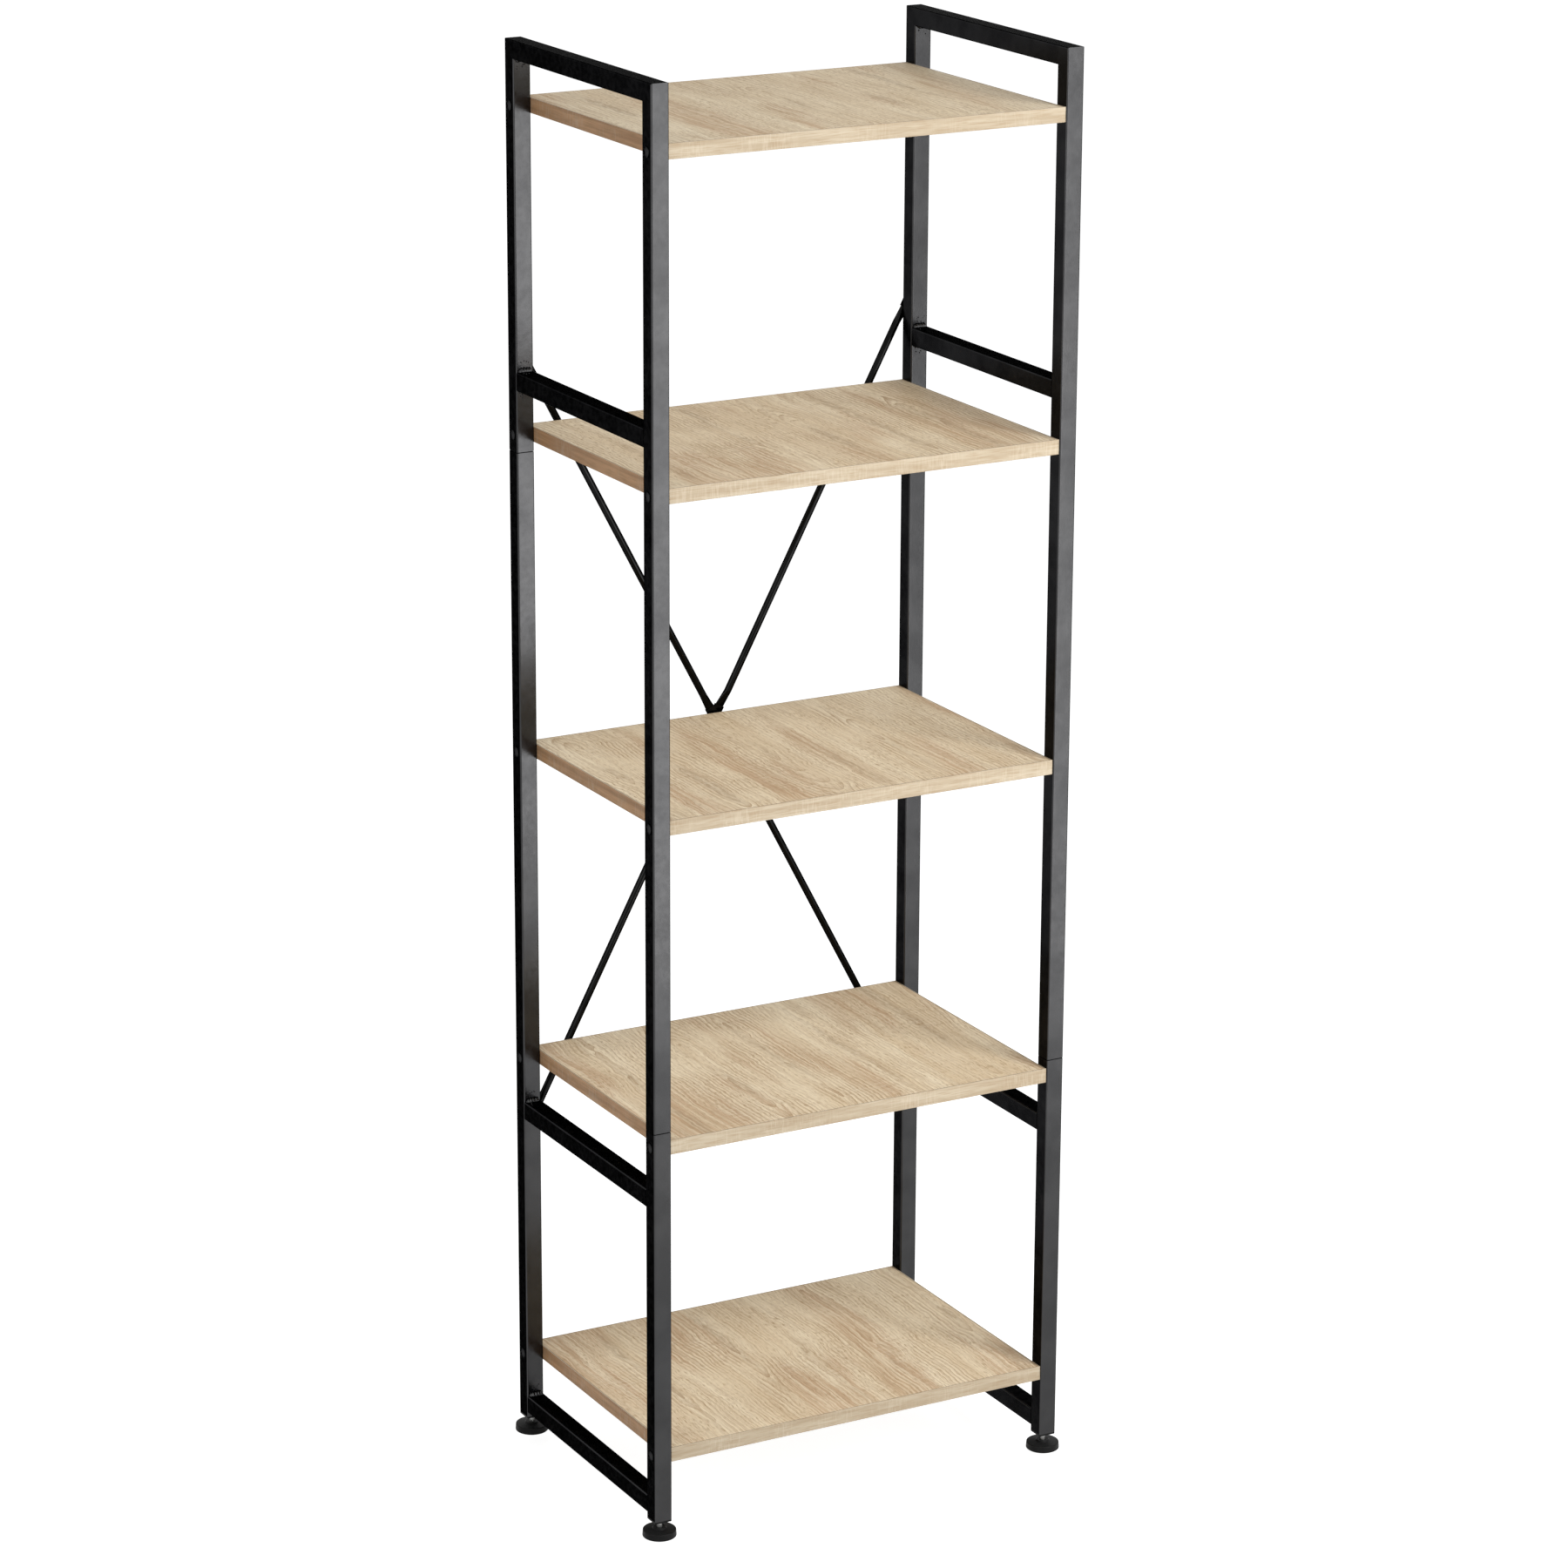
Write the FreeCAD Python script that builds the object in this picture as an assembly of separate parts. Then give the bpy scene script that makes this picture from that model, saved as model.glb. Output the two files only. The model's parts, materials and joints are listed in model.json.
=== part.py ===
import FreeCAD, Part
import math
import os
from FreeCAD import Placement, Rotation, Vector

# Industrial shelving unit: two welded side frames of square tube, boards screwed between them,
# a crossed pair of rods on the back and four levelling feet.
# All lengths are millimetres. +X is to the right, +Y to the back, +Z up, and the origin is on
# the floor under the middle of the unit.

# Overall size
width = 500.0               # outside of the left posts to outside of the right posts
depth = 330.0               # front of the front posts to back of the rear posts

# Square tube of the side frames
tube_side = 20.0
tube_wall = 1.2
tube_corner = 1.5           # outside radius of the tube's long edges
seam_gap = 1.0              # open line where an upper post stands on a lower post
seam_offset = 10.0          # from a seam to the face of the board beside it
rail_gap = 41.0             # clear height between a rail and the board next to it
post_tail = 5.0             # how far the posts run on below the bottom rails
weld_leg = 3.0

# Sleeves that join the upper and lower posts
sleeve_length = 80.0
sleeve_wall = 1.5
sleeve_clearance = 0.1

# Boards, from the floor up
shelf_names = ["bottom", "lower", "middle", "upper", "top"]
shelf_pitch = 350.0
board_thickness = 16.0
board_front_inset = 2.0     # board edge behind the front of the posts
board_rear_inset = 1.0      # board edge in front of the back of the posts
band_thickness = 1.0
band_round = 0.4

# Screws that hold the boards, and the inserts that they turn into
screw_radius = 3.0
screw_grip = 14.0           # length of screw inside a board
screw_head_radius = 5.75
screw_head_rim = 1.0
screw_head_height = 2.8
screw_hole_clearance = 0.3
socket_sides = 6
socket_radius = 2.3         # to the corners of the socket
socket_depth = 1.5
insert_radius = 4.5
insert_length = 15.0
press_gap = 0.03
thread_gap = 0.05

# Crossed rods on the back
rod_radius = 4.0
flat_width = 11.0
flat_thickness = 3.5
brace_rise = 450.0          # from the crossing up to the upper screws
brace_clearance = 0.5       # between the posts' back faces and the front of the rods
lug_length = 14.0           # flat from the screw to the start of the neck
crossing_flat = 15.0        # flat from the rivet to the start of the neck
neck_length = 18.0
neck_inset = 0.3            # how far the neck's end stays inside the flat's section
rivet_radius = 3.0
rivet_head_radius = 5.0
rivet_head_rim = 0.5
rivet_head_height = 2.0
rod_hole_clearance = 0.1    # round the rivet and round the screws
brace_screw_radius = 2.5
brace_screw_grip = 9.0      # length of screw inside a post
brace_screw_head_radius = 4.75
brace_screw_head_rim = 0.8
brace_screw_head_height = 2.6
rivet_nut_radius = 3.5
rivet_nut_length = 11.0
rivet_nut_bulge_radius = 4.6
rivet_nut_bulge_length = 3.0

# Levelling feet
pad_radius = 18.5
pad_rim_radius = 18.0       # at the top of the wall, which leans in a little
pad_wall_height = 7.5
pad_round = 1.0
pad_crown_radius = 8.0      # where the sloping top meets the boss
pad_crown_height = 8.6
pad_boss_radius = 6.5
pad_boss_height = 10.0
pad_floor = 2.0             # plastic under the stud's head
stud_head_radius = 6.0
stud_head_height = 3.0
stud_head_clearance = 0.3
stud_shank_radius = 3.1
stud_shank_show = 8.0       # plain shank between the pad and the plug
stud_thread_radius = 2.9
stud_thread_length = 35.0
stud_clearance = 0.08
plug_flange = 2.0
plug_length = 25.0
plug_clearance = 0.05

# Heights that follow from the pieces stacked on the floor
plug_bottom = pad_boss_height + stud_shank_show
post_bottom = plug_bottom + plug_flange
bottom_rail_z = post_bottom + post_tail
lowest_board_z = bottom_rail_z + tube_side + rail_gap
board_z = {name: lowest_board_z + index * shelf_pitch for index, name in enumerate(shelf_names)}
screw_levels = [low + board_thickness / 2 for low in board_z.values()]
top_rail_z = board_z["top"] + board_thickness + rail_gap
frame_top = top_rail_z + tube_side
upper_rail_z = board_z["upper"] + board_thickness + rail_gap
lower_rail_z = board_z["lower"] - rail_gap - tube_side
rear_seam = board_z["upper"] - seam_offset
front_seam = board_z["lower"] + board_thickness + seam_offset
crossing_z = (board_z["lower"] + board_z["upper"] + board_thickness) / 2

# Places in plan
post_x = (width - tube_side) / 2
post_y = (depth - tube_side) / 2
inner_x = width / 2 - tube_side
inner_y = depth / 2 - tube_side
post_back = depth / 2
core_front = board_front_inset + band_thickness - depth / 2
core_back = depth / 2 - board_rear_inset - band_thickness
sides = {"left": -1, "right": 1}
ends = {"front": -1, "rear": 1}

screw_hole_radius = screw_radius + screw_hole_clearance
stud_bore_radius = stud_thread_radius + thread_gap


def square_bar(side, corner, length):
    """Upright square bar with round edges, centred on the Z axis and standing on z = 0."""
    bar = Part.makeBox(side, side, length, Vector(-side / 2, -side / 2, 0))
    upright = [edge for edge in bar.Edges if edge.BoundBox.ZLength > length / 2]
    return bar.makeFillet(corner, upright)


def hollow_bar(side, wall, corner, length):
    """Upright square tube, centred on the Z axis and standing on z = 0."""
    inner_corner = max(corner - wall, wall / 2)
    return square_bar(side, corner, length).cut(square_bar(side - 2 * wall, inner_corner, length))


def placed(shape, direction, point):
    """Copy of a shape built along +Z, turned to run along a direction from a point."""
    copy = shape.copy()
    copy.Placement = Placement(point, Rotation(Vector(0, 0, 1), direction))
    return copy


def domed_disc(radius, rim, height):
    """Disc on z = 0 with a straight rim and a spherical top, as on a button-head screw."""
    cap = height - rim
    ball_radius = (radius ** 2 + cap ** 2) / (2 * cap)
    ball = Part.makeSphere(ball_radius, Vector(0, 0, height - ball_radius))
    return Part.makeCylinder(radius, height).common(ball)


def turned(outline):
    """Solid turned about the Z axis from a closed outline of (radius, height) points."""
    points = [Vector(radius, 0, height) for radius, height in outline]
    face = Part.Face(Part.makePolygon(points + points[:1]))
    return face.revolve(Vector(0, 0, 0), Vector(0, 0, 1), 360)


def save(node, *solids):
    """Write one node: a single solid, or a group of separate solids."""
    shape = solids[0] if len(solids) == 1 else Part.makeCompound(list(solids))
    shape.exportStep("parts/" + node + ".step")


def button_screw(radius, length, head_radius, head_rim, head_height):
    """Socket screw along +Z with the seat of its head on z = 0."""
    head = domed_disc(head_radius, head_rim, head_height).mirror(Vector(0, 0, 0), Vector(0, 0, 1))
    turns = [2 * math.pi * step / socket_sides for step in range(socket_sides)]
    corners = [Vector(socket_radius * math.cos(turn), socket_radius * math.sin(turn), 0) for turn in turns]
    outline = Part.makePolygon(corners + corners[:1])
    socket = Part.Face(outline).extrude(Vector(0, 0, socket_depth))
    socket.translate(Vector(0, 0, -head_height))
    return head.fuse(Part.makeCylinder(radius, length)).removeSplitter().cut(socket)


def mitre_block(end, above):
    """Block on one side of the plane that halves a top corner between post and rail."""
    reach = 2 * tube_side
    low_y = 0 if above else -2 * reach
    block = Part.makeBox(2 * reach, 2 * reach, 2 * reach, Vector(-reach, low_y, -reach))
    tilt = Rotation(Vector(1, 0, 0), 90 + 45 * end)
    block.Placement = Placement(Vector(0, end * inner_y, top_rail_z), tilt)
    return block


def post(side, end, bottom, top):
    """Upright tube with a hole for every shelf screw that passes through it."""
    tube = hollow_bar(tube_side, tube_wall, tube_corner, top - bottom)
    tube.translate(Vector(side * post_x, end * post_y, bottom))
    for level in screw_levels:
        if bottom < level < top:
            tube = tube.cut(screw_hole(side, end, level))
    return tube


def screw_hole(side, end, level):
    """Hole along X through a post."""
    start = Vector(side * post_x - tube_side, end * post_y, level)
    return Part.makeCylinder(screw_hole_radius, 2 * tube_side, start, Vector(1, 0, 0))


def rivet_nut_hole(side, level):
    """Hole through the back wall of a rear post."""
    start = Vector(side * post_x, post_back - 2 * tube_wall, level)
    return Part.makeCylinder(rivet_nut_radius + press_gap, 2 * tube_wall, start, Vector(0, 1, 0))


def upper_post(side, end):
    """Upper post, cut at 45 degrees where the top rail meets it."""
    seam = rear_seam if end > 0 else front_seam
    tube = post(side, end, seam + seam_gap / 2, frame_top)
    corner = mitre_block(end, above=True)
    corner.translate(Vector(side * post_x, 0, 0))
    tube = tube.cut(corner)
    if end > 0:
        tube = tube.cut(rivet_nut_hole(side, crossing_z + brace_rise))
    return tube


def lower_post(side, end):
    """Lower post, from the plug in its foot up to the seam."""
    seam = rear_seam if end > 0 else front_seam
    tube = post(side, end, post_bottom, seam - seam_gap / 2)
    if end > 0:
        tube = tube.cut(rivet_nut_hole(side, crossing_z - brace_rise))
    return tube


def rail(side, bottom, length):
    """Tube that runs from front to back, centred on the frame."""
    tube = hollow_bar(tube_side, tube_wall, tube_corner, length)
    return placed(tube, Vector(0, 1, 0), Vector(side * post_x, -length / 2, bottom + tube_side / 2))


def top_rail(side):
    """Rail across the top, cut at 45 degrees at both ends."""
    tube = rail(side, top_rail_z, depth)
    for end in ends.values():
        corner = mitre_block(end, above=False)
        corner.translate(Vector(side * post_x, 0, 0))
        tube = tube.cut(corner)
    return tube


def weld_bead(side, end, height, up):
    """Quarter-round bead in the corner between a post and the top or underside of a rail."""
    length = tube_side - 2 * tube_corner
    bead = Part.makeCylinder(weld_leg, length, Vector(0, 0, -length / 2), Vector(0, 0, 1), 90)
    turn = Rotation(Vector(0, -end, 0), Vector(0, 0, up), Vector(-end * up, 0, 0), "XYZ")
    bead.Placement = Placement(Vector(side * post_x, end * inner_y, height), turn)
    return bead


def rail_welds(side, bottom):
    """Beads above and below a rail at both of its ends."""
    beads = []
    for end in ends.values():
        beads.append(weld_bead(side, end, bottom + tube_side, 1))
        beads.append(weld_bead(side, end, bottom, -1))
    return beads


def upper_welds(side):
    """Beads of the upper cross rail and inside the two top corners."""
    corners = [weld_bead(side, end, top_rail_z, -1) for end in ends.values()]
    return corners + rail_welds(side, upper_rail_z)


def lower_welds(side):
    """Beads of the lower cross rail and the bottom rail."""
    return rail_welds(side, lower_rail_z) + rail_welds(side, bottom_rail_z)


def sleeve(side, end):
    """Short tube inside the posts at a seam, with a hole for the shelf screw that pins it."""
    outside = tube_side - 2 * tube_wall - 2 * sleeve_clearance
    tube = hollow_bar(outside, sleeve_wall, tube_corner, sleeve_length)
    seam = rear_seam if end > 0 else front_seam
    tube.translate(Vector(side * post_x, end * post_y, seam - sleeve_length / 2))
    level = board_z["upper" if end > 0 else "lower"] + board_thickness / 2
    return tube.cut(screw_hole(side, end, level))


def side_frame(name, side):
    """All tubes, sleeves and welds of one side frame."""
    for end_name, end in ends.items():
        save(f"{name}_upper_{end_name}_post", upper_post(side, end))
        save(f"{name}_lower_{end_name}_post", lower_post(side, end))
        save(f"{name}_{end_name}_sleeve", sleeve(side, end))
    save(f"{name}_top_rail", top_rail(side))
    save(f"{name}_upper_cross_rail", rail(side, upper_rail_z, 2 * inner_y))
    save(f"{name}_lower_cross_rail", rail(side, lower_rail_z, 2 * inner_y))
    save(f"{name}_bottom_rail", rail(side, bottom_rail_z, 2 * inner_y))
    save(f"{name}_upper_frame_welds", *upper_welds(side))
    save(f"{name}_lower_frame_welds", *lower_welds(side))


def shelf_corners():
    """The four places, as (side, end), where a board is screwed to the posts."""
    return [(side, end) for side in sides.values() for end in ends.values()]


def board_core(bottom):
    """Board without its edge bands, bored at both ends for the threaded inserts."""
    half_length = inner_x - band_thickness
    corner = Vector(-half_length, core_front, bottom)
    board = Part.makeBox(2 * half_length, core_back - core_front, board_thickness, corner)
    for side, end in shelf_corners():
        mouth = Vector(side * half_length, end * post_y, bottom + board_thickness / 2)
        bore = Part.makeCylinder(insert_radius + press_gap, insert_length, mouth, Vector(-side, 0, 0))
        board = board.cut(bore)
    return board


def long_band(bottom, outer, end):
    """Band along the front or back edge of a board, with its two outer edges rounded."""
    corner = Vector(-inner_x, outer if end < 0 else outer - band_thickness, bottom)
    band = Part.makeBox(2 * inner_x, band_thickness, board_thickness, corner)
    rounded = [
        edge for edge in band.Edges
        if edge.BoundBox.XLength > inner_x and abs(edge.BoundBox.Center.y - outer) < band_thickness / 2
    ]
    return band.makeFillet(band_round, rounded)


def end_band(bottom, side):
    """Band on a board's end, between the long bands, with holes for the screws."""
    low_x = inner_x - band_thickness if side > 0 else -inner_x
    corner = Vector(low_x, core_front, bottom)
    band = Part.makeBox(band_thickness, core_back - core_front, board_thickness, corner)
    for end in ends.values():
        band = band.cut(screw_hole(side, end, bottom + board_thickness / 2))
    return band


def edge_bands(bottom):
    """Bands on all four edges of a board."""
    front_band = long_band(bottom, board_front_inset - depth / 2, -1)
    rear_band = long_band(bottom, depth / 2 - board_rear_inset, 1)
    return [front_band, rear_band] + [end_band(bottom, side) for side in sides.values()]


def shelf_screws(bottom):
    """Screws from the outside of the posts into the ends of a board."""
    length = tube_side + band_thickness + screw_grip
    screw = button_screw(screw_radius, length, screw_head_radius, screw_head_rim, screw_head_height)
    level = bottom + board_thickness / 2
    return [
        placed(screw, Vector(-side, 0, 0), Vector(side * width / 2, end * post_y, level))
        for side, end in shelf_corners()
    ]


def shelf_inserts(bottom):
    """Threaded inserts in the ends of a board."""
    insert = Part.makeCylinder(insert_radius, insert_length)
    insert = insert.cut(Part.makeCylinder(screw_radius + thread_gap, insert_length))
    level = bottom + board_thickness / 2
    mouth_x = inner_x - band_thickness
    return [
        placed(insert, Vector(-side, 0, 0), Vector(side * mouth_x, end * post_y, level))
        for side, end in shelf_corners()
    ]


def shelves():
    """Boards, bands, screws and inserts."""
    inserts = []
    for name, bottom in board_z.items():
        save(f"{name}_shelf_board", board_core(bottom))
        save(f"{name}_shelf_edge_bands", *edge_bands(bottom))
        save(f"{name}_shelf_screws", *shelf_screws(bottom))
        inserts += shelf_inserts(bottom)
    save("shelf_inserts", *inserts)


def rod_flat(start, length, offset):
    """Flattened stretch of a rod along +Z, at an offset behind the rod's axis."""
    corner = Vector(-flat_width / 2, offset - flat_thickness / 2, start)
    return Part.makeBox(flat_width, flat_thickness, length, corner)


def rod_neck(flat_end, round_end, offset):
    """Stretch where the rod goes from flat to round."""
    half_width = flat_width / 2 - neck_inset
    half_thickness = flat_thickness / 2 - neck_inset
    oval = Part.Ellipse(Vector(0, offset, flat_end), half_width, half_thickness)
    circle = Part.Circle(Vector(0, 0, round_end), Vector(0, 0, 1), rod_radius)
    return Part.makeLoft([Part.Wire(oval.toShape()), Part.Wire(circle.toShape())], True, True)


def half_rod(length, lug_offset, crossing_offset):
    """Upper half of a rod, standing on its crossing, with its axis on +Z."""
    round_start = crossing_flat + neck_length
    lug_start = length - lug_length
    round_end = lug_start - neck_length
    pieces = [
        rod_flat(0, crossing_flat, crossing_offset),
        rod_neck(crossing_flat, round_start, crossing_offset),
        Part.makeCylinder(rod_radius, round_end - round_start, Vector(0, 0, round_start)),
        rod_neck(lug_start, round_end, lug_offset),
        rod_flat(lug_start, lug_length, lug_offset),
        lug_cylinder(flat_width / 2, length, lug_offset),
    ]
    hole = lug_cylinder(brace_screw_radius + rod_hole_clearance, length, lug_offset)
    return pieces[0].multiFuse(pieces[1:]).cut(hole)


def lug_cylinder(radius, height, offset):
    """Cylinder through a rod's flat: the round end of a lug, or the hole in it."""
    start = Vector(0, offset - flat_thickness / 2, height)
    return Part.makeCylinder(radius, flat_thickness, start, Vector(0, 1, 0))


def brace_rod(lean, crossing_offset):
    """Rod from the foot of one rear post to the head of the other, with lugs on the posts."""
    axis_y = post_back + brace_clearance + rod_radius
    lug_offset = post_back + flat_thickness / 2 - axis_y
    half = half_rod(math.hypot(post_x, brace_rise), lug_offset, crossing_offset - axis_y)
    rod = half.fuse(half.mirror(Vector(0, 0, 0), Vector(0, 0, 1)))
    hole = lug_cylinder(rivet_radius + rod_hole_clearance, 0, crossing_offset - axis_y)
    rod = rod.cut(hole).removeSplitter()
    along = Vector(lean * post_x, 0, brace_rise).normalize()
    across = Vector(0, 1, 0).cross(along)
    rod.Placement = Placement(Vector(0, axis_y, crossing_z), Rotation(across, Vector(0, 1, 0), along, "XYZ"))
    return rod


def brace_rivet(front):
    """Rivet through both flats at the crossing, with a domed head on each side."""
    grip = 2 * flat_thickness
    head = domed_disc(rivet_head_radius, rivet_head_rim, rivet_head_height)
    back_head = head.copy()
    back_head.translate(Vector(0, 0, grip))
    front_head = head.mirror(Vector(0, 0, 0), Vector(0, 0, 1))
    rivet = Part.makeCylinder(rivet_radius, grip).multiFuse([front_head, back_head]).removeSplitter()
    return placed(rivet, Vector(0, 1, 0), Vector(0, front, crossing_z))


def lug_places():
    """Points on the back faces of the rear posts where the rods are screwed on."""
    return [
        Vector(side * post_x, post_back, crossing_z + rise)
        for side in sides.values() for rise in (-brace_rise, brace_rise)
    ]


def rivet_nut():
    """Threaded nut set in a post's back wall, built along +Z from the wall's outer face."""
    nut = Part.makeCylinder(rivet_nut_radius, rivet_nut_length)
    bulge = Part.makeCylinder(rivet_nut_bulge_radius, rivet_nut_bulge_length, Vector(0, 0, tube_wall))
    bore = Part.makeCylinder(brace_screw_radius + thread_gap, rivet_nut_length)
    return nut.fuse(bulge).removeSplitter().cut(bore)


def brace():
    """Both rods, the rivet at their crossing, and the screws and nuts at their ends."""
    front = post_back + brace_clearance + rivet_head_height
    flat_middle = front + flat_thickness / 2
    save("brace_front_rod", brace_rod(-1, flat_middle))
    save("brace_rear_rod", brace_rod(1, flat_middle + flat_thickness))
    save("brace_rivet", brace_rivet(front))
    inward = Vector(0, -1, 0)
    screw = button_screw(
        brace_screw_radius, flat_thickness + brace_screw_grip,
        brace_screw_head_radius, brace_screw_head_rim, brace_screw_head_height,
    )
    seat = Vector(0, flat_thickness, 0)
    save("brace_screws", *[placed(screw, inward, place + seat) for place in lug_places()])
    save("brace_rivet_nuts", *[placed(rivet_nut(), inward, place) for place in lug_places()])


def foot_pad():
    """Plastic pad on the floor, moulded round the head of its stud."""
    cavity_radius = stud_head_radius + stud_head_clearance
    cavity_top = pad_floor + stud_head_height + stud_head_clearance
    bore = stud_shank_radius + stud_clearance
    pad = turned([
        (0, 0),
        (pad_radius, 0),
        (pad_rim_radius, pad_wall_height),
        (pad_crown_radius, pad_crown_height),
        (pad_boss_radius, pad_boss_height),
        (bore, pad_boss_height),
        (bore, cavity_top),
        (cavity_radius, cavity_top),
        (cavity_radius, pad_floor),
        (0, pad_floor),
    ])
    rims = [edge for edge in pad.Edges if edge.BoundBox.XLength > pad_rim_radius + pad_crown_radius]
    return pad.makeFillet(pad_round, rims)


def foot_stud():
    """Stud with a round head in the pad, a plain shank and a threaded end in the plug."""
    head_top = pad_floor + stud_head_height
    return turned([
        (0, pad_floor),
        (stud_head_radius, pad_floor),
        (stud_head_radius, head_top),
        (stud_shank_radius, head_top),
        (stud_shank_radius, plug_bottom),
        (stud_thread_radius, plug_bottom),
        (stud_thread_radius, plug_bottom + stud_thread_length),
        (0, plug_bottom + stud_thread_length),
    ])


def foot_plug():
    """Threaded plug in the end of a post, with a flange that covers the tube's end."""
    inside = tube_side - 2 * tube_wall - 2 * plug_clearance
    flange = square_bar(tube_side, tube_corner, plug_flange)
    shank = square_bar(inside, tube_corner, plug_length)
    shank.translate(Vector(0, 0, plug_flange))
    bore = Part.makeCylinder(stud_bore_radius, plug_flange + plug_length)
    plug = flange.fuse(shank).removeSplitter().cut(bore)
    plug.translate(Vector(0, 0, plug_bottom))
    return plug


def feet():
    """Pad, stud and plug under each of the four posts."""
    pieces = {"pad": foot_pad(), "stud": foot_stud(), "plug": foot_plug()}
    for end_name, end in ends.items():
        for side_name, side in sides.items():
            place = Vector(side * post_x, end * post_y, 0)
            for piece_name, piece in pieces.items():
                save(f"{end_name}_{side_name}_foot_{piece_name}", piece.translated(place))


def main():
    os.makedirs("parts", exist_ok=True)
    for name, side in sides.items():
        side_frame(name, side)
    shelves()
    brace()
    feet()


main()
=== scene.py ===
import bmesh
import bpy
import json
import math
import random
from collections import namedtuple
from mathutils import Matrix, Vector

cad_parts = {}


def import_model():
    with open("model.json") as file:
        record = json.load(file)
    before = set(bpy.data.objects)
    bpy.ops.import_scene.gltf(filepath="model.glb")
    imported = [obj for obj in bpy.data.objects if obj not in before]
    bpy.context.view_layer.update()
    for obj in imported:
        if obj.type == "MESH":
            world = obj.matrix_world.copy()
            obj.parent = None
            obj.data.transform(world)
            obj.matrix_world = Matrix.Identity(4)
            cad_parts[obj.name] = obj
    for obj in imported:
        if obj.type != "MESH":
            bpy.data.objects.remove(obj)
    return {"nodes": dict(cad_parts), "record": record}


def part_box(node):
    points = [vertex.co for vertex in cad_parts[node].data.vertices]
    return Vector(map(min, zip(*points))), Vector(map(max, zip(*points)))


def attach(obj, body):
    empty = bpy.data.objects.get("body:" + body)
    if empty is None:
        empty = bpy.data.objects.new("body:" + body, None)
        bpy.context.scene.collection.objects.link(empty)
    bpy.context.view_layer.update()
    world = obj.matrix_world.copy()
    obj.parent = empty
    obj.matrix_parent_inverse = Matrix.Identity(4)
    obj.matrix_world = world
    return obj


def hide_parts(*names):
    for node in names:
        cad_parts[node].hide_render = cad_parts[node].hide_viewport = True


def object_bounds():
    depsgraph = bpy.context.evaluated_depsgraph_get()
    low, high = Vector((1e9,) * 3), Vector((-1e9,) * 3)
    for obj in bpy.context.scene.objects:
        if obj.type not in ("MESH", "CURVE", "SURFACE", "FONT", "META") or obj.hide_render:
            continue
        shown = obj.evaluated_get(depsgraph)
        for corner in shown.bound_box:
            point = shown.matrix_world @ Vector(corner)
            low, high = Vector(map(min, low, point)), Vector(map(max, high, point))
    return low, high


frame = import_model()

# Looks of the shelving unit: oak-decor boards, black powder-coated tube, black rods, zinc studs and
# plastic feet, with threaded studs and lumpy weld beads in place of the plain packed ones.
# All lengths are metres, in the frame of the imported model: +X right, +Y back, +Z up.

# Camera, standing in front of the unit and to its left
CAMERA_PLACE = Vector((-2.542, -4.597, 2.385))
CAMERA_AZIMUTH = math.radians(-27.96)
CAMERA_ELEVATION = math.radians(16.80)
CAMERA_LENS = 117.5
CAMERA_SENSOR = 36.0
CAMERA_SHIFT = (0.050, -0.020)

# Stage
FLOOR_SIZE = 60.0
FLOOR_COLOUR = (0.50, 0.50, 0.50, 1)
FLOOR_GLOW = 0.88
FLOOR_CLEARANCE = 0.0002
WORLD_COLOUR = (1, 1, 1, 1)
WORLD_LIGHT = 0.38

# Softboxes: place, width and height, and power in watts. The front fill has a target of its own
KEY_PLACE = (0.6, -2.6, 2.9)
KEY_SIZE = (2.0, 1.5)
KEY_POWER = 92
FRONT_FILL_PLACE = (0.63, -1.42, 0.80)
FRONT_FILL_TARGET = (0, 0, 0.78)
FRONT_FILL_SIZE = (0.80, 1.5)
FRONT_FILL_POWER = 14
LEFT_FILL_PLACE = (-2.6, -1.0, 1.5)
LEFT_FILL_SIZE = (1.2, 1.6)
LEFT_FILL_POWER = 14

# Most of a soft noise lies between these two values
NOISE_LOW = 0.3
NOISE_HIGH = 0.7

# Plain finishes: the two tones between which the colour drifts, the limits of the roughness, and the tint
# of a metal's edge seen at a grazing angle or the shine of another finish
COAT_TONES = ((0.040, 0.040, 0.041, 1), (0.049, 0.049, 0.050, 1))
COAT_ROUGHNESS = (0.20, 0.27)
COAT_RIM = (0.0, 0.0, 0.0, 1)
PAINT_TONES = ((0.008, 0.008, 0.008, 1), (0.012, 0.012, 0.012, 1))
PAINT_ROUGHNESS = (0.10, 0.16)
PAINT_RIM = (0.0, 0.0, 0.0, 1)
SCALE_TONES = ((0.004, 0.004, 0.005, 1), (0.009, 0.009, 0.011, 1))
SCALE_ROUGHNESS = (0.50, 0.65)
SCALE_SHINE = 0.05
ZINC_TONES = ((0.38, 0.38, 0.37, 1), (0.54, 0.54, 0.525, 1))
ZINC_ROUGHNESS = (0.22, 0.38)
ZINC_RIM = (0.10, 0.10, 0.10, 1)
ZINC_LINE_RATE = 2400.0
SCREW_TONES = ((0.020, 0.020, 0.021, 1), (0.036, 0.036, 0.037, 1))
SCREW_ROUGHNESS = (0.30, 0.42)
SCREW_RIM = (0.05, 0.05, 0.05, 1)
PLASTIC_TONES = ((0.006, 0.006, 0.006, 1), (0.011, 0.011, 0.011, 1))
PLASTIC_ROUGHNESS = (0.40, 0.52)
PLASTIC_SHINE = 0.07

# Oak decor: the staves it shows side by side, shifted by part of a stave from board to board, their
# growth rings, and the dark line at the board's edge bands
STAVE_WIDTH = 0.088
STAVE_SHIFT = 0.37
RING_WIDTH = 0.0048
LATE_WOOD_POWER = 2.4
HEART_RINGS = (0.7, 2.1)
JOINT_WIDTH = 0.0011
OAK_ROUGHNESS = (0.50, 0.62)
OAK_SHINE = 0.04

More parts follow.
